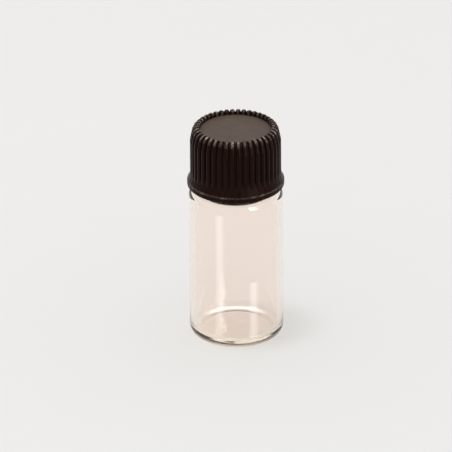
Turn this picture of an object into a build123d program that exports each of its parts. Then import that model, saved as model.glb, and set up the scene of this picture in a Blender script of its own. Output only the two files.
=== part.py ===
from build123d import *
from math import cos, pi, radians, sin, tan, tau
import os

# Screw-thread glass sample vial: a clear glass body drawn from tubing, a ribbed screw cap
# and the liner that seals it. Millimetres, Z up, the origin at the centre of the foot.

# Glass body: straight wall, round heel, and a base pushed up a little inside its foot ring
body_radius = 8.0
body_wall = 1.0
shoulder_top = 27.5
shoulder_round = 1.7
heel_round = 1.55
foot_ring_radius = 5.2
base_rise = 0.25
base_thickness = 1.1
floor_fillet = 1.2

# Neck of the glass, from the shoulder up to the lip
neck_radius = 5.65
neck_wall = 1.1
neck_height = 8.4
neck_foot_fillet = 0.5
throat_fillet = 1.4
lip_round = 0.45

# Thread: right-hand, 12 turns to the inch, a rounded bead on the glass
thread_pitch = 25.4 / 12
thread_height = 0.85
thread_width = 1.1
thread_turns = 1.75
thread_below_lip = 1.5
thread_fade_deg = 45.0

# Thread inside the cap: sloped flanks, just under the bead that it pulls against
cap_thread_turns = 1.75
cap_thread_crest_width = 0.3
cap_thread_base_width = 1.1
cap_thread_above_mouth = 1.3
thread_crest_clearance = 0.15
thread_root_clearance = 0.3
thread_slack = 0.12

# Cap: the wall and top of the moulding. Its upper side leans in, so it strips off the mould
skirt_clearance = 0.3
cap_wall = 0.68
cap_top_wall = 0.84
cap_mouth_round = 0.3
cap_draft_deg = 12.4
cap_draft_height = 2.15
cap_draft_fillet = 3.0
cap_edge_round = 0.8
rim_rise = 0.44

# Disc sunk in the top of the cap, inside the rounded ends of the ribs
disc_margin = 1.23
disc_brink_round = 0.4

# Flange of the cap over the shoulder of the glass: an upright band, a ledge and a flare
flange_lap = 0.27
flange_band = 0.95
flange_foot_round = 0.22
flange_ledge = 0.12
flange_ledge_round = 0.1
flange_flare = 2.2
flare_fillet = 1.5

# Grip ribs: half-round backs, from the flange up and over the edge of the cap
rib_count = 42
groove_floor_width = 0.25
rib_end_run = 0.08

# Liner: a disc that lies under the top of the cap and seals on the lip
liner_thickness = 1.0
liner_gap = 0.03
liner_side_clearance = 0.2
liner_corner_round = 0.12

# How deep a thread is rooted in its wall, and the turn between two of its sections
thread_root_depth = 0.15
thread_step_deg = 15.0

# Heights of the stack, from the mouth of the cap to its rim
skirt_z = shoulder_top + skirt_clearance
lip_z = shoulder_top + neck_height
liner_z = lip_z + liner_gap
ceiling_z = liner_z + liner_thickness + liner_gap
disc_z = ceiling_z + cap_top_wall
rim_z = disc_z + rim_rise
draft_z = rim_z - cap_draft_height
band_top = skirt_z + flange_band

# Radii of the cap, outwards from the thread of the glass, and of the flange over its body
cap_bore_radius = neck_radius + thread_height + thread_crest_clearance
cap_thread_crest_radius = neck_radius + thread_root_clearance
groove_radius = cap_bore_radius + cap_wall
rib_radius = (tau * groove_radius / rib_count - groove_floor_width) / 2
flange_radius = body_radius + flange_lap
edge_radius = groove_radius - cap_draft_height * tan(radians(cap_draft_deg))
disc_radius = groove_radius - disc_margin

# Helices: the height at which each crosses the X axis at turn 0
bead_z = lip_z - thread_below_lip
cap_thread_z = bead_z - (thread_width + cap_thread_crest_width) / 2 - thread_slack


def fitted(room, *rounds):
    """Rounds that share one ledge, all smaller alike where the ledge is too narrow for them."""
    share = min(1, 0.95 * room / sum(rounds))
    return [share * radius for radius in rounds]


def turned(outline):
    """Solid of revolution about Z of an open outline that starts and ends on the axis."""
    closed = outline + Line(outline @ 1, outline @ 0)
    return revolve(make_face(Plane.XZ * closed), Axis.Z)


def upright(radius, low_z, height):
    """Cylinder on the Z axis that stands on low_z."""
    return Pos(0, 0, low_z + height / 2) * Cylinder(radius, height)


def crown(z):
    """Ball whose top stands base_rise above z inside the foot ring."""
    ball_radius = (foot_ring_radius**2 + base_rise**2) / (2 * base_rise)
    return Pos(0, 0, z + base_rise - ball_radius) * Sphere(ball_radius)


def thread(section, root_radius, reach, z, first_turn, turns):
    """Ridge along a right-hand helix, sunk into its wall at both ends.

    section(root, reach, share) draws it at a share of its full size, reach is its height
    over root_radius, negative where it points inwards, and z is its height at turn 0.
    """
    steps = round(turns * 360 / thread_step_deg)
    fade = thread_fade_deg / 360
    sections = []
    for step in range(steps + 1):
        turn = first_turn + turns * step / steps
        to_end = turns * min(step, steps - step) / steps
        share = 0.06 + 0.94 * sin(min(1, to_end / fade) * pi / 2)
        angle = tau * turn
        plane = Plane(
            origin=(0, 0, z + turn * thread_pitch),
            x_dir=(cos(angle), sin(angle), 0),
            z_dir=(sin(angle), -cos(angle), 0),
        )
        sections.append(plane * section(root_radius, reach * share, share))
    return loft(sections)


def bead_section(root, reach, share):
    """Half-round section, as hot glass takes it from the forming wheels."""
    arc = EllipticalCenterArc((root, 0), reach, thread_width / 2 * share, -90, arc_size=180)
    return make_face(arc + Line(arc @ 1, arc @ 0))


def moulded_section(root, reach, share):
    """Flat-crested section with sloped flanks, which strips cleanly off a mould core."""
    crest = cap_thread_crest_width / 2 * share
    base = cap_thread_base_width / 2 * share
    corners = [(root, -base), (root + reach, -crest), (root + reach, crest), (root, base)]
    return make_face(Polyline(*corners, close=True))


def glass_vial():
    """The glass, one piece from foot to lip."""
    inside_radius = body_radius - body_wall
    mouth_radius = neck_radius - neck_wall
    under_shoulder = shoulder_top - body_wall
    shoulder, neck_foot = fitted(body_radius - neck_radius, shoulder_round, neck_foot_fillet)
    lip, _ = fitted(neck_wall, lip_round, lip_round)
    inside_shoulder, throat = fitted(
        inside_radius - mouth_radius, max(shoulder - body_wall, 0), throat_fillet
    )
    outline = FilletPolyline(
        (0, 0),
        (body_radius, 0),
        (body_radius, shoulder_top),
        (neck_radius, shoulder_top),
        (neck_radius, lip_z),
        (mouth_radius, lip_z),
        (mouth_radius, under_shoulder),
        (inside_radius, under_shoulder),
        (inside_radius, base_thickness),
        (0, base_thickness),
        radius=[heel_round, shoulder, neck_foot, lip, lip, throat, inside_shoulder, floor_fillet],
    )
    bead = thread(
        bead_section,
        neck_radius - thread_root_depth,
        thread_height + thread_root_depth,
        bead_z,
        -thread_turns,
        thread_turns,
    )
    floor = crown(base_thickness) & upright(foot_ring_radius, base_thickness / 2, base_thickness)
    return turned(outline) + bead + floor - crown(0)


def cap_shell():
    """Turned form of the cap: hollow, with the flange and the flare that the ribs rise from."""
    outline = FilletPolyline(
        (0, ceiling_z),
        (cap_bore_radius, ceiling_z),
        (cap_bore_radius, skirt_z),
        (flange_radius, skirt_z),
        (flange_radius, band_top),
        (flange_radius - flange_ledge, band_top),
        (groove_radius, band_top + flange_flare),
        (groove_radius, draft_z),
        (edge_radius, rim_z),
        (0, rim_z),
        radius=[
            liner_corner_round,
            cap_mouth_round,
            flange_foot_round,
            flange_ledge_round,
            0,
            flare_fillet,
            cap_draft_fillet,
            cap_edge_round,
        ],
    )
    return turned(outline)


def cap_thread():
    """Ridge inside the skirt, which runs under the bead of the glass."""
    reach = cap_bore_radius + thread_root_depth - cap_thread_crest_radius
    first_turn = (skirt_z + cap_thread_above_mouth - cap_thread_z) / thread_pitch
    return thread(
        moulded_section,
        cap_bore_radius + thread_root_depth,
        -reach,
        cap_thread_z,
        first_turn,
        cap_thread_turns,
    )


def rib():
    """One grip rib: a round bar up the wall, bent over the edge to the brink of the disc."""
    spine = FilletPolyline(
        (groove_radius, band_top),
        (groove_radius, draft_z),
        (edge_radius, rim_z),
        (disc_radius - rib_end_run, rim_z),
        radius=[cap_draft_fillet, cap_edge_round],
    )
    path = Plane.XZ * spine
    return sweep(Plane(origin=path @ 0) * Circle(rib_radius), path)


def recess():
    """Room over the sunk disc, opening out over the rounded inner ends of the ribs."""
    rib_top = rim_z + rib_radius
    mouth_radius = disc_radius + 2 * disc_brink_round
    outline = FilletPolyline(
        (0, disc_z),
        (disc_radius, disc_z),
        (disc_radius, rib_top),
        (mouth_radius, rib_top),
        (mouth_radius, rib_top + rib_radius),
        (0, rib_top + rib_radius),
        radius=[0, disc_brink_round, 0, 0],
    )
    return turned(outline)


def screw_cap():
    """The cap, moulded in one piece, with a smooth disc sunk in its top."""
    ribs = PolarLocations(0, rib_count) * rib()
    return cap_shell() + cap_thread() + ribs - recess()


def cap_liner():
    """The liner, a soft punched disc."""
    disc = upright(cap_bore_radius - liner_side_clearance, liner_z, liner_thickness)
    return fillet(disc.edges().filter_by(GeomType.CIRCLE), liner_corner_round)


os.makedirs("parts", exist_ok=True)
export_step(glass_vial(), "parts/glass_vial.step")
export_step(screw_cap(), "parts/screw_cap.step")
export_step(cap_liner(), "parts/cap_liner.step")
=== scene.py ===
from math import asin, cos, pi, radians, sin, sqrt, tan, tau

import bpy
import numpy as np
from mathutils import Matrix, Vector


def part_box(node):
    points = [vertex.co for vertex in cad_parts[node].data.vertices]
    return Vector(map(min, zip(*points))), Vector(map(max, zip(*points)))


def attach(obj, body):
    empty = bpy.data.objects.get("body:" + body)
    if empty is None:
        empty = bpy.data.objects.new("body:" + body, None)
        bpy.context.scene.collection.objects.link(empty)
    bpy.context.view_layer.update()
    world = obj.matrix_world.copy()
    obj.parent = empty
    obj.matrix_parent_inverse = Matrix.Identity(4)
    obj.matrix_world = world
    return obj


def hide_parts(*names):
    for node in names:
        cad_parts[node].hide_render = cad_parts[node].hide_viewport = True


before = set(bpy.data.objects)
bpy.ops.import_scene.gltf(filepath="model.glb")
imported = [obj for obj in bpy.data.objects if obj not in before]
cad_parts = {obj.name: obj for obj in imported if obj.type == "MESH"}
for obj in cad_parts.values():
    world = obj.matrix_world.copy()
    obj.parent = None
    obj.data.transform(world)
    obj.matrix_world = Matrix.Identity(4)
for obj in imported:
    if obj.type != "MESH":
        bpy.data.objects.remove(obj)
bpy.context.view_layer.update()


# Glass body: clear soda-lime glass, a length of drawn tube that is closed flat at the foot and
# pressed by forming wheels, while it is hot, into a shoulder, a neck and a right-hand thread
# bead. The flame leaves the lip and the heel round and the wall a little wavy.
MM = 0.001
glass_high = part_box("glass_vial")[1]
body_radius = glass_high.x
body_wall = 1.0 * MM
inside_radius = body_radius - body_wall
heel_round = 1.55 * MM
foot_ring_radius = 5.2 * MM
base_rise = 0.25 * MM
base_thickness = 1.1 * MM
floor_fillet = 1.2 * MM

# Neck and shoulder, down from the lip
lip_z = glass_high.z
lip_round = 0.45 * MM
neck_height = 8.4 * MM
neck_radius = 5.65 * MM
neck_wall = 1.1 * MM
mouth_radius = neck_radius - neck_wall
neck_foot_fillet = 0.5 * MM
throat_fillet = 1.4 * MM
shoulder_top = lip_z - neck_height
under_shoulder = shoulder_top - body_wall
shoulder_round = 1.7 * MM
inside_round = shoulder_round - body_wall
wall_top = shoulder_top - shoulder_round

# Thread bead: 12 turns to the inch, and bead_z is the height of its upper end
thread_pitch = 25.4 / 12 * MM
bead_height = 0.85 * MM
bead_half_width = 0.55 * MM
bead_turns = 1.75
bead_fade_turns = 0.125
bead_below_lip = 1.5 * MM
bead_z = lip_z - bead_below_lip

# Marks of the hot forming: lines along the inside of the straight wall, and an uneven floor
wave_height = 0.00075 * MM
lines_low, lines_high = 3.0 * MM, 25.0 * MM
floor_sag = 0.05 * MM
floor_sag_phase = 0.6

# Mesh: how near to a surface its own points lie, and how many points go around
on_surface = 0.01 * MM
columns = 240


def arc(centre_r, centre_z, radius, start_deg, end_deg, count):
    """Points (r, z) along a round stretch of an outline."""
    angles = np.radians(np.linspace(start_deg, end_deg, count))
    return [(centre_r + radius * cos(a), centre_z + radius * sin(a)) for a in angles]


def straight(start, end, count):
    """Points (r, z) between the two ends of a straight stretch, the ends left out."""
    return [tuple(p) for p in np.linspace(start, end, count + 2)[1:-1]]


def dome(z, from_r, to_r, count):
    """Points (r, z) over the pushed-up middle of the base or of the floor."""
    ball = (foot_ring_radius**2 + base_rise**2) / (2 * base_rise)
    radii = np.linspace(from_r, to_r, count)
    return [(r, z + base_rise - ball + sqrt(ball**2 - r**2)) for r in radii]


def bead_share(z, angle):
    """How much of its full height the thread bead has at each point of the neck."""
    share = np.zeros_like(z)
    for lap in range(-2, 1):
        turn = angle / tau + lap
        to_end = np.minimum(turn + bead_turns, -turn)
        full = np.sin(np.clip(to_end / bead_fade_turns, 0, 1) * pi / 2)
        # Beyond its ends the bead has no height, and a little width keeps the division sound.
        half_width = bead_half_width * np.maximum(full, 0.05)
        off_centre = (z - bead_z - turn * thread_pitch) / half_width
        share = np.maximum(share, full * np.sqrt(np.clip(1 - off_centre**2, 0, 1)))
    return share


def hot_formed(r, z, angle):
    """How far each point of the lathe form is moved outwards and up.

    The bead stands on the neck. The lines in the wall are waves with 3 to 14 crests around,
    which add up to 0.004 mm at most, and the floor sags in two lobes and in three.
    """
    on_neck = (np.abs(r - neck_radius) < on_surface) & (z > shoulder_top)
    in_wall = (np.abs(r - inside_radius) < on_surface) & (z > lines_low) & (z < lines_high)
    on_floor = (np.abs(z - base_thickness) < base_rise + on_surface) & (r < foot_ring_radius)
    lines = sum(cos(crests) * np.cos(crests * angle + crests**2) for crests in range(3, 15))
    from_middle = r / foot_ring_radius
    two_lobes = from_middle**2 * np.cos(2 * angle + floor_sag_phase)
    three_lobes = from_middle * np.cos(3 * angle)
    out = np.where(on_neck, bead_height * bead_share(z, angle), 0)
    out = out + np.where(in_wall, wave_height * lines, 0)
    sag = floor_sag * (two_lobes + three_lobes) * (1 - from_middle**2)
    return out, np.where(on_floor, sag, 0)


def turned_mesh(name, outline):
    """Closed surface turned about Z from an outline that starts and ends on the axis."""
    rz = np.array(outline)
    angle = np.arange(columns) * tau / columns
    r, turn = np.meshgrid(rz[1:-1, 0], angle, indexing="ij")
    z = np.repeat(rz[1:-1, 1:2], columns, axis=1)
    out, up = hot_formed(r, z, turn)
    r, z = r + out, z + up
    ring = np.stack([r * np.cos(turn), r * np.sin(turn), z], axis=-1).reshape(-1, 3)
    points = [(0, 0, rz[0, 1]), *map(tuple, ring), (0, 0, rz[-1, 1])]
    rows, last = len(rz) - 2, len(points) - 1
    top = 1 + (rows - 1) * columns
    faces = []
    for c in range(columns):
        d = (c + 1) % columns
        faces.append((0, 1 + d, 1 + c))
        faces.append((top + c, top + d, last))
        for row in range(rows - 1):
            a = 1 + row * columns
            faces.append((a + c, a + d, a + columns + d, a + columns + c))
    mesh = bpy.data.meshes.new(name)
    mesh.from_pydata(points, [], faces)
    mesh.shade_smooth()
    piece = bpy.data.objects.new(name, mesh)
    bpy.context.collection.objects.link(piece)
    return piece


# The outline runs from the middle of the foot up the outside, over the lip and down the inside
# to the middle of the floor. The last number of each stretch is how many points it has.
glass = turned_mesh("vial_glass", [
    *dome(0, 0, foot_ring_radius, 14),
    *arc(body_radius - heel_round, heel_round, heel_round, -90, 0, 18),
    *straight((body_radius, heel_round), (body_radius, wall_top), 24),
    *arc(body_radius - shoulder_round, wall_top, shoulder_round, 0, 90, 18),
    *arc(
        neck_radius + neck_foot_fillet, shoulder_top + neck_foot_fillet,
        neck_foot_fillet, 270, 180, 7,
    ),
    *straight((neck_radius, shoulder_top + neck_foot_fillet), (neck_radius, lip_z - lip_round), 64),
    *arc(neck_radius - lip_round, lip_z - lip_round, lip_round, 0, 90, 9),
    *arc(mouth_radius + lip_round, lip_z - lip_round, lip_round, 90, 180, 9),
    *straight((mouth_radius, lip_z - lip_round), (mouth_radius, under_shoulder + throat_fillet), 10),
    *arc(mouth_radius + throat_fillet, under_shoulder + throat_fillet, throat_fillet, 180, 270, 14),
    *arc(inside_radius - inside_round, wall_top, inside_round, 90, 0, 12),
    *straight((inside_radius, wall_top), (inside_radius, base_thickness + floor_fillet), 24),
    *arc(inside_radius - floor_fillet, base_thickness + floor_fillet, floor_fillet, 0, -90, 14),
    *dome(base_thickness, foot_ring_radius, 0, 14),
])


def linear(hex_colour):
    """Linear colour from an sRGB hex value."""
    channels = [int(hex_colour[i:i + 2], 16) / 255 for i in (1, 3, 5)]
    return (*[c / 12.92 if c <= 0.04045 else ((c + 0.055) / 1.055) ** 2.4 for c in channels], 1.0)


def add_node(material, kind, inputs=None, **settings):
    """Adds one shader node with its settings, and a value or a link on each named socket."""
    tree = material.node_tree
    made = tree.nodes.new("ShaderNode" + kind)
    for name, value in settings.items():
        setattr(made, name, value)
    for name, value in (inputs or {}).items():
        if isinstance(value, bpy.types.NodeSocket):
            tree.links.new(value, made.inputs[name])
        else:
            made.inputs[name].default_value = value
    return made


def empty_material(name):
    """Node material with nothing in it yet."""
    material = bpy.data.materials.new(name)
    material.use_nodes = True
    material.node_tree.nodes.clear()
    return material


# Drawn and fire-polished soda-lime glass: perfectly clear and glossy, with a faint warm cast.
# Soft drawing lines, some 1.6 mm apart, run the length of the wall and bend what is seen
# through it. A light film of handling dulls the gloss in patches of about 4 mm.
line_spacing = 1.6 * MM
patch_width = 4.0 * MM
drawn_glass = empty_material("soda_lime_glass_fire_polished")
place = add_node(drawn_glass, "TexCoord")
along = add_node(drawn_glass, "Mapping", {"Vector": place.outputs["Object"], "Scale": (1, 1, 0.05)})
lines = add_node(drawn_glass, "TexNoise", {
    "Vector": along.outputs["Vector"], "Scale": 1 / line_spacing, "Detail": 2.0, "Roughness": 0.4,
})
line_relief = add_node(drawn_glass, "Bump", {
    "Strength": 0.03, "Distance": 0.02 * MM, "Height": lines.outputs["Fac"],
})
smudges = add_node(drawn_glass, "TexNoise", {
    "Vector": place.outputs["Object"], "Scale": 1 / patch_width, "Detail": 6.0, "Roughness": 0.6,
})
film = add_node(drawn_glass, "MapRange", {
    "Value": smudges.outputs["Fac"], "From Min": 0.5, "From Max": 0.75, "To Min": 0.0, "To Max": 0.03,
})
clear = add_node(drawn_glass, "BsdfPrincipled", {
    "Base Color": linear("#fff8f4"),
    "Roughness": film.outputs["Result"],
    "IOR": 1.52,
    "Transmission Weight": 1.0,
    "Normal": line_relief.outputs["Normal"],
})
# Light on its way to a matt surface goes straight through, as if the glass didn't bend it, so
# that the table behind the glass is lit evenly and without grain.
ray = add_node(drawn_glass, "LightPath")
lighting = add_node(drawn_glass, "Math", {
    0: ray.outputs["Is Shadow Ray"], 1: ray.outputs["Is Diffuse Ray"],
}, operation="MAXIMUM")
passed = add_node(drawn_glass, "BsdfTransparent", {"Color": linear("#fffefd")})
seen = add_node(drawn_glass, "MixShader", {
    0: lighting.outputs["Value"], 1: clear.outputs["BSDF"], 2: passed.outputs["BSDF"],
})
# The cast grows with the thickness of glass that is looked through, so the heel is deepest.
bulk = add_node(drawn_glass, "VolumeAbsorption", {"Color": linear("#f8eed8"), "Density": 50.0})
add_node(drawn_glass, "OutputMaterial", {
    "Surface": seen.outputs["Shader"], "Volume": bulk.outputs["Volume"],
})
glass.data.materials.append(drawn_glass)
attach(glass, "vial")
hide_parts("glass_vial")


# Cap liner: a disc punched from closed-cell polyethylene foam sheet and pushed in under the
# top of the cap, where it seals on the lip of the glass. The skin of the sheet is matt and
# off-white. Its cells are about 0.1 mm wide and are drawn twice as coarse, so that they show.
cell_width = 0.2 * MM
foam = empty_material("polyethylene_foam_punched")
foam_place = add_node(foam, "TexCoord")
cells = add_node(foam, "TexVoronoi", {"Vector": foam_place.outputs["Object"], "Scale": 1 / cell_width})
cell_relief = add_node(foam, "Bump", {
    "Strength": 0.35, "Distance": 0.03 * MM, "Height": cells.outputs["Distance"],
})
foam_shade = add_node(foam, "ValToRGB", {"Fac": cells.outputs["Distance"]})
foam_shade.color_ramp.elements[0].color = linear("#dddbd3")
foam_shade.color_ramp.elements[1].color = linear("#f0efe9")
foam_dull = add_node(foam, "MapRange", {
    "Value": cells.outputs["Distance"], "To Min": 0.55, "To Max": 0.75,
})
foam_skin = add_node(foam, "BsdfPrincipled", {
    "Base Color": foam_shade.outputs["Color"],
    "Roughness": foam_dull.outputs["Result"],
    "IOR": 1.5,
    "Normal": cell_relief.outputs["Normal"],
})
add_node(foam, "OutputMaterial", {"Surface": foam_skin.outputs["BSDF"]})


def dress(node_name, material):
    """Gives a CAD node its finish."""
    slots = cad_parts[node_name].data.materials
    slots.clear()
    slots.append(material)


dress("cap_liner", foam)


# Screw cap: black phenolic resin, compression moulded in one piece. The ribs and the flange
# come off polished steel, and the disc in the top off an etched insert that leaves it satin.
# The grey-brown of the disc is painted sheen, and the paler tips of the ribs and the ledge of
# the flange are painted highlight.
cap_low, cap_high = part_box("screw_cap")
rib_count = 42
disc_radius = 6.1 * MM
disc_edge = 0.15 * MM
disc_depth = 0.86 * MM
disc_z = cap_high.z - disc_depth
flange_band = 0.95 * MM
ledge_z = cap_low.z + flange_band
ledge_half_height = 0.13 * MM
# Painted highlight on the rib tips: it starts at the first height and is full from the second.
highlight_from_z = cap_high.z - 1.0 * MM
highlight_fully_z = cap_high.z - 0.2 * MM
phenolic = empty_material("black_phenolic_moulded")

# Where on the cap a point is: on the disc and not on the ceiling below it, on the back of a
# rib, near the top, on the ledge
cap_place = add_node(phenolic, "TexCoord")
xyz = add_node(phenolic, "SeparateXYZ", {"Vector": cap_place.outputs["Object"]})
flat_place = add_node(phenolic, "VectorMath", {
    0: cap_place.outputs["Object"], 1: (1, 1, 0),
}, operation="MULTIPLY")
from_axis = add_node(phenolic, "VectorMath", {0: flat_place.outputs["Vector"]}, operation="LENGTH")
within = add_node(phenolic, "MapRange", {
    "Value": from_axis.outputs["Value"],
    "From Min": disc_radius - disc_edge, "From Max": disc_radius, "To Min": 1.0, "To Max": 0.0,
})
above = add_node(phenolic, "MapRange", {
    "Value": xyz.outputs["Z"], "From Min": disc_z - 0.1 * MM, "From Max": disc_z - 0.05 * MM,
})
on_disc = add_node(phenolic, "Math", {
    0: within.outputs["Result"], 1: above.outputs["Result"],
}, operation="MULTIPLY")
off_disc = add_node(phenolic, "Math", {0: 1.0, 1: within.outputs["Result"]}, operation="SUBTRACT")
azimuth = add_node(phenolic, "Math", {0: xyz.outputs["Y"], 1: xyz.outputs["X"]}, operation="ARCTAN2")
laps = add_node(phenolic, "Math", {0: azimuth.outputs["Value"], 1: rib_count}, operation="MULTIPLY")
ripple = add_node(phenolic, "Math", {0: laps.outputs["Value"]}, operation="COSINE")
crest = add_node(phenolic, "MapRange", {
    "Value": ripple.outputs["Value"], "From Min": -0.2, "From Max": 0.8,
})
near_top = add_node(phenolic, "MapRange", {
    "Value": xyz.outputs["Z"], "From Min": highlight_from_z, "From Max": highlight_fully_z,
})
at_ledge = add_node(phenolic, "Math", {
    0: xyz.outputs["Z"], 1: ledge_z, 2: ledge_half_height,
}, operation="COMPARE")

# Resin with the depth of black lacquer and a faint red cast, mottled in clouds of about 1.8 mm
cloud_width = 1.8 * MM
mottle = add_node(phenolic, "TexNoise", {
    "Vector": cap_place.outputs["Object"], "Scale": 1 / cloud_width, "Detail": 5.0, "Roughness": 0.6,
})
resin = add_node(phenolic, "ValToRGB", {"Fac": mottle.outputs["Fac"]})
resin.color_ramp.elements[0].position = 0.3
resin.color_ramp.elements[0].color = linear("#140604")
resin.color_ramp.elements[1].position = 0.7
resin.color_ramp.elements[1].color = linear("#1c0906")
# Disc colour: painted sheen. This paler grey-brown gives the disc the brightness that its gloss no
# longer reflects at the low specular level below.
painted_disc_sheen = add_node(phenolic, "ValToRGB", {"Fac": mottle.outputs["Fac"]})
painted_disc_sheen.color_ramp.elements[0].position = 0.3
painted_disc_sheen.color_ramp.elements[0].color = linear("#564a42")
painted_disc_sheen.color_ramp.elements[1].position = 0.7
painted_disc_sheen.color_ramp.elements[1].color = linear("#5e524a")
skin = add_node(phenolic, "Mix", {
    "Factor": on_disc.outputs["Value"], "A": resin.outputs["Color"], "B": painted_disc_sheen.outputs["Color"],
}, data_type="RGBA")

# Painted highlight: the rib tips and, less so, the ledge are painted a paler, dull brown, more in
# some clouds than in others, and pale specks on them are painted glints. The specks follow the
# filler's grain, which is under 0.1 mm and is drawn at 0.3 mm, so that it shows.
grain_width = 0.3 * MM
on_rim = add_node(phenolic, "Math", {
    0: near_top.outputs["Result"], 1: off_disc.outputs["Value"],
}, operation="MULTIPLY")
on_tips = add_node(phenolic, "Math", {
    0: on_rim.outputs["Value"], 1: crest.outputs["Result"],
}, operation="MULTIPLY")
on_ledge = add_node(phenolic, "Math", {0: at_ledge.outputs["Value"], 1: 0.4}, operation="MULTIPLY")
on_edges = add_node(phenolic, "Math", {
    0: on_tips.outputs["Value"], 1: on_ledge.outputs["Value"],
}, operation="MAXIMUM")
highlight_share = add_node(phenolic, "MapRange", {
    "Value": mottle.outputs["Fac"], "From Min": 0.42, "From Max": 0.6, "To Min": 0.25, "To Max": 1.0,
})
painted_highlight = add_node(phenolic, "Math", {
    0: on_edges.outputs["Value"], 1: highlight_share.outputs["Result"],
}, operation="MULTIPLY")
# Painted highlight: a paler brown mixed over the resin on the rib tips and the ledge.
with_painted_highlight = add_node(phenolic, "Mix", {
    "Factor": painted_highlight.outputs["Value"], "A": skin.outputs["Result"], "B": linear("#6b5b52"),
}, data_type="RGBA")
grain = add_node(phenolic, "TexNoise", {
    "Vector": cap_place.outputs["Object"], "Scale": 1 / grain_width, "Detail": 3.0,
})
# Painted glints: pale specks where the grain noise peaks within the painted highlight.
glint_specks = add_node(phenolic, "MapRange", {
    "Value": grain.outputs["Fac"], "From Min": 0.5, "From Max": 0.62,
})
painted_glints = add_node(phenolic, "Math", {
    0: painted_highlight.outputs["Value"], 1: glint_specks.outputs["Result"],
}, operation="MULTIPLY")
with_painted_glints = add_node(phenolic, "Mix", {
    "Factor": painted_glints.outputs["Value"], "A": with_painted_highlight.outputs["Result"], "B": linear("#b8aca1"),
}, data_type="RGBA")

# The backs of the ribs are polished, and the grooves and the etched disc are satin. The
# specular level is far below the usual 0.5, because a white studio on every side would
# otherwise turn the black grooves grey.
relief = add_node(phenolic, "Bump", {
    "Strength": 0.3, "Distance": 0.02 * MM, "Height": grain.outputs["Fac"],
})
rib_gloss = add_node(phenolic, "MapRange", {
    "Value": crest.outputs["Result"], "To Min": 0.5, "To Max": 0.2,
})
gloss = add_node(phenolic, "Mix", {
    "Factor": on_disc.outputs["Value"], "A": rib_gloss.outputs["Result"], "B": 0.5,
})
moulded = add_node(phenolic, "BsdfPrincipled", {
    "Base Color": with_painted_glints.outputs["Result"],
    "Roughness": gloss.outputs["Result"],
    "IOR": 1.55,
    "Specular IOR Level": 0.07,
    "Specular Tint": linear("#ffd9cc"),
    "Normal": relief.outputs["Normal"],
})
add_node(phenolic, "OutputMaterial", {"Surface": moulded.outputs["BSDF"]})
dress("screw_cap", phenolic)


# Table: a wide sheet of matt white paper under the vial. It lies a hair under the foot, so that
# glass and paper share no face.
table_half = 3.0
table_drop = 0.02 * MM
floor_mesh = bpy.data.meshes.new("floor")
floor_mesh.from_pydata([
    (-table_half, -table_half, 0),
    (table_half, -table_half, 0),
    (table_half, table_half, 0),
    (-table_half, table_half, 0),
], [], [(0, 1, 2, 3)])
floor = bpy.data.objects.new("floor", floor_mesh)
bpy.context.collection.objects.link(floor)
floor.location.z = -table_drop
paper = empty_material("matt_white_paper")
paper_skin = add_node(paper, "BsdfDiffuse", {"Color": linear("#f3f2f0")})
add_node(paper, "OutputMaterial", {"Surface": paper_skin.outputs["BSDF"]})
floor_mesh.materials.append(paper)


# Studio: a white room, one small key lamp from above and the left, and three soft boxes that
# only gloss shows. They light up the shoulder of the glass and the backs of the ribs.
studio = bpy.data.worlds.new("studio")
studio.use_nodes = True
studio.node_tree.nodes["Background"].inputs["Color"].default_value = linear("#ffffff")
studio.node_tree.nodes["Background"].inputs["Strength"].default_value = 0.85
bpy.context.scene.world = studio


def softbox(name, place, look_at, width, length, radiance, only_gloss=False):
    """Rectangular lamp whose face has the given radiance.

    One that is only for gloss shows as a reflection, and lights no matt surface.
    """
    data = bpy.data.lights.new(name, "AREA")
    data.shape = "RECTANGLE"
    data.size, data.size_y = width, length
    data.energy = radiance * pi * width * length
    lamp = bpy.data.objects.new(name, data)
    bpy.context.collection.objects.link(lamp)
    lamp.location = place
    lamp.rotation_euler = (Vector(look_at) - Vector(place)).to_track_quat("-Z", "Y").to_euler()
    lamp.visible_camera = False
    lamp.visible_diffuse = not only_gloss


def from_front(azimuth_deg, distance, z):
    """Point at a height and a distance from the axis, by its turn from the camera's side."""
    turn = radians(azimuth_deg)
    return (distance * sin(turn), -distance * cos(turn), z)


cap_middle = (0, 0, 0.03)
windows_azimuth_deg = 42
softbox("key", place=(-0.08, -0.03, 0.6), look_at=cap_middle, width=0.1, length=0.1, radiance=13.0)
softbox(
    "ceiling", place=(0, 0.1, 0.6), look_at=(0, 0.1, 0),
    width=0.7, length=0.6, radiance=6.0, only_gloss=True,
)
softbox(
    "right_window", place=from_front(windows_azimuth_deg, 0.5, 0.035), look_at=cap_middle,
    width=0.16, length=0.08, radiance=14.0, only_gloss=True,
)
softbox(
    "right_upper", place=from_front(windows_azimuth_deg, 0.45, 0.25), look_at=cap_middle,
    width=0.14, length=0.1, radiance=14.0, only_gloss=True,
)


# Camera: a long lens, 2 m away, that looks down at 26 degrees as the photograph's does. The
# aim and the width of the frame at the vial put it where the photograph has it.
elevation = radians(26.2)
roll = radians(-0.4)
camera_distance = 2.0
frame_width = 77.0 * MM
aim = Vector((-1.71 * MM, 0, 19.66 * MM))
camera_data = bpy.data.cameras.new("camera")
camera_data.sensor_width = 36
camera_data.lens = camera_data.sensor_width * camera_distance / frame_width
camera_data.clip_start = 0.1
camera_data.clip_end = 20
camera = bpy.data.objects.new("camera", camera_data)
bpy.context.collection.objects.link(camera)
camera.location = aim + camera_distance * Vector((0, -cos(elevation), sin(elevation)))
tilt = Matrix.Rotation(pi / 2 - elevation, 3, "X") @ Matrix.Rotation(roll, 3, "Z")
camera.rotation_euler = tilt.to_euler()
bpy.context.scene.camera = camera

# Colours are shown as they are, with no film look.
bpy.context.scene.view_settings.view_transform = "Standard"

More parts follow.
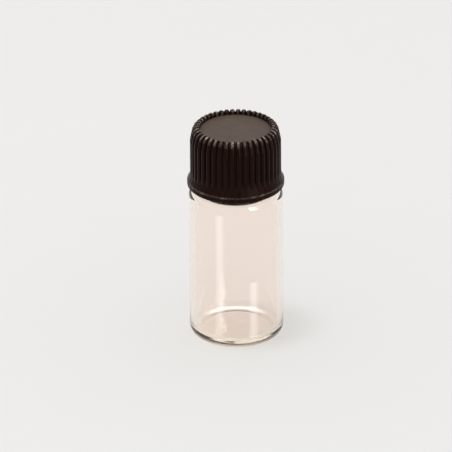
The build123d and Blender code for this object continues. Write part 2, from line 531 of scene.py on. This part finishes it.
# Light turns many times inside the heel of the glass before it leaves.
bpy.context.scene.cycles.max_bounces = 48
bpy.context.scene.cycles.transmission_bounces = 48
bpy.context.scene.cycles.glossy_bounces = 24


# Gleams: two bright bars of light on the table beside the vial, which the upright wall of the
# glass mirrors as soft strips. They are part of the stage, and nothing else shows them.
gleam_z = 0.1 * MM


def glow_card(name, points, faces, glow, z, brightest, darkest, mirrored):
    """Patch of light that lies on the table and lights nothing itself.

    glow goes from 1, where the patch adds its brightest, through 0, where it adds nothing, to
    -1, where it cuts what lies under it to its darkest share. A mirrored patch shows only in
    the gloss of the glass, and any other only through the glass.
    """
    mesh = bpy.data.meshes.new(name)
    mesh.from_pydata(points, [], faces)
    mesh.attributes.new("glow", "FLOAT", "POINT").data.foreach_set("value", glow)
    light = empty_material(name)
    share = add_node(light, "Attribute", attribute_name="glow")
    strength = add_node(light, "MapRange", {"Value": share.outputs["Fac"], "To Max": brightest})
    added = add_node(light, "Emission", {"Strength": strength.outputs["Result"]})
    dimmed = add_node(light, "MapRange", {
        "Value": share.outputs["Fac"],
        "From Min": -1.0, "From Max": 0.0, "To Min": darkest, "To Max": 1.0,
    })
    under = add_node(light, "BsdfTransparent", {"Color": dimmed.outputs["Result"]})
    both = add_node(light, "AddShader", {0: added.outputs["Emission"], 1: under.outputs["BSDF"]})
    add_node(light, "OutputMaterial", {"Surface": both.outputs["Shader"]})
    mesh.materials.append(light)
    card = bpy.data.objects.new(name, mesh)
    bpy.context.collection.objects.link(card)
    card.location.z = z
    card.visible_camera = False
    card.visible_diffuse = False
    card.visible_shadow = False
    card.visible_glossy = mirrored
    card.visible_transmission = not mirrored


def table_gleam(name, left, right, low, high, shift, radiance):
    """Patch that shows as an upright strip between left and right across the front of the wall.

    low and high are the ends of the strip. Each upright line of the wall looks out along the
    table at twice its azimuth, and sees it further out the higher it is. shift moves the whole
    patch sideways, which stands the strip upright.
    """
    lines, reach = 9, 1 / tan(elevation)
    points, glow, faces = [], [], []
    for i in range(lines):
        turn = asin((left + (right - left) * i / (lines - 1)) / body_radius)
        foot = body_radius * Vector((sin(turn), -cos(turn), 0)) + Vector((shift, 0, 0))
        out = Vector((sin(2 * turn), -cos(2 * turn), 0))
        points += [foot + low * reach * out, foot + high * reach * out]
        glow += [sin(pi * i / (lines - 1))] * 2
        if i:
            faces.append((2 * i - 2, 2 * i, 2 * i + 1, 2 * i - 1))
    glow_card(name, points, faces, glow, gleam_z, brightest=radiance, darkest=1.0, mirrored=True)


table_gleam(
    "left_gleam", left=-3.6 * MM, right=-1.95 * MM, low=2.0 * MM, high=26.2 * MM,
    shift=-1.15 * MM, radiance=2.6,
)
table_gleam(
    "right_gleam", left=2.1 * MM, right=3.8 * MM, low=2.0 * MM, high=12.4 * MM,
    shift=-0.3 * MM, radiance=3.4,
)


# Caustic: light that the round heel gathers on the table under its far side, as a bright arc
# with a thin dark line inside it. The render doesn't trace such light, so part of a ring
# between the foot and the table stands in for it.
heel_glow_middle_deg = 182
heel_glow_span_deg = 100
heel_glow_steps = 48
heel_glow_fade = 0.7
# Across the ring, outwards: the radius, and the glow there
heel_glow_profile = (
    (5.7 * MM, 0), (5.85 * MM, -1), (6.15 * MM, -1), (6.3 * MM, 0),
    (6.6 * MM, 0), (6.9 * MM, 1), (7.9 * MM, 1), (8.8 * MM, 0),
)
points, glow, faces = [], [], []
for i in range(heel_glow_steps + 1):
    along_arc = i / heel_glow_steps
    turn = radians(heel_glow_middle_deg + heel_glow_span_deg * (along_arc - 0.5))
    fade = sin(pi * along_arc) ** heel_glow_fade
    for r, share in heel_glow_profile:
        points.append((r * sin(turn), -r * cos(turn), 0))
        glow.append(share * fade)
    if i:
        b = i * len(heel_glow_profile)
        a = b - len(heel_glow_profile)
        faces += [(a + k, b + k, b + k + 1, a + k + 1) for k in range(len(heel_glow_profile) - 1)]
glow_card(
    "heel_glow", points, faces, glow, -table_drop / 2, brightest=0.55, darkest=0.35, mirrored=False,
)
